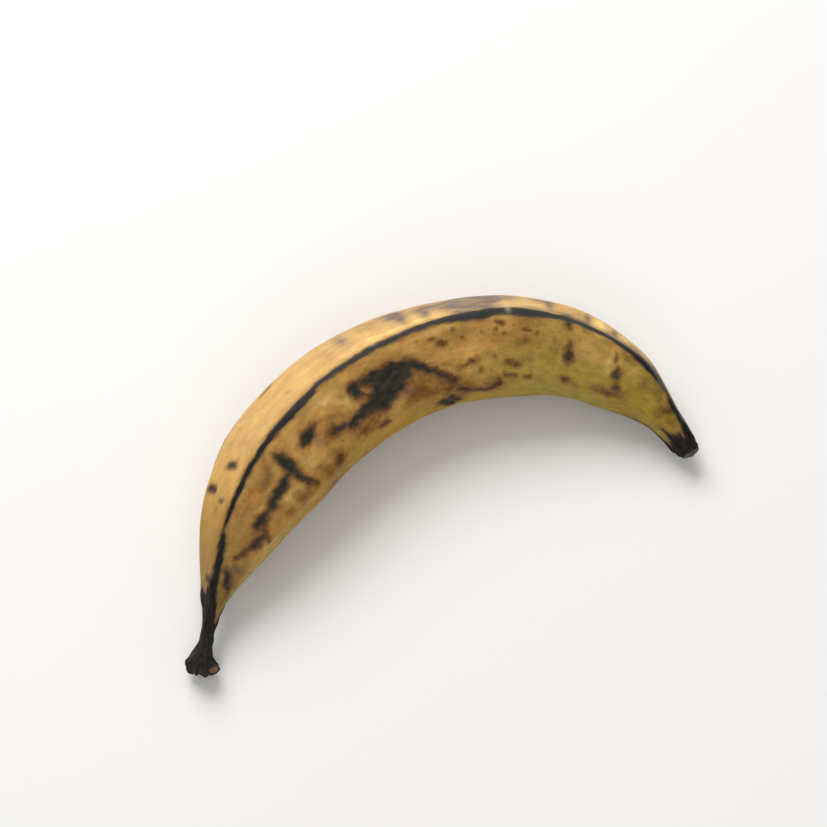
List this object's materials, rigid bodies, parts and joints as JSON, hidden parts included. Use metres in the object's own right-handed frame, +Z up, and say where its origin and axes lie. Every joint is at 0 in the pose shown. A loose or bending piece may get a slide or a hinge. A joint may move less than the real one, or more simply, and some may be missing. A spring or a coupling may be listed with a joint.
{
  "type": "plantain",
  "caption": "Whole ripe plantain lying on its side: an arched, softly ridged fruit with a thin dried stem flaring to a torn foot, and a blunt blossom end.",
  "frame": {"origin": "middle of the underside of the bounding box, on the surface that the fruit lies on", "axes": "+Z up, +X from the stem's torn foot to the blossom end along the chord of the arch, +Y towards the outer, convex side of the arch"},
  "size_m": [0.2428, 0.1156, 0.0509],
  "materials": {
    "peel": "satin ripe peel, golden tan to olive, with black ridges, bruises and ends"
  },
  "bodies": {
    "root": {"plantain": "peel"}
  },
  "joints": []
}
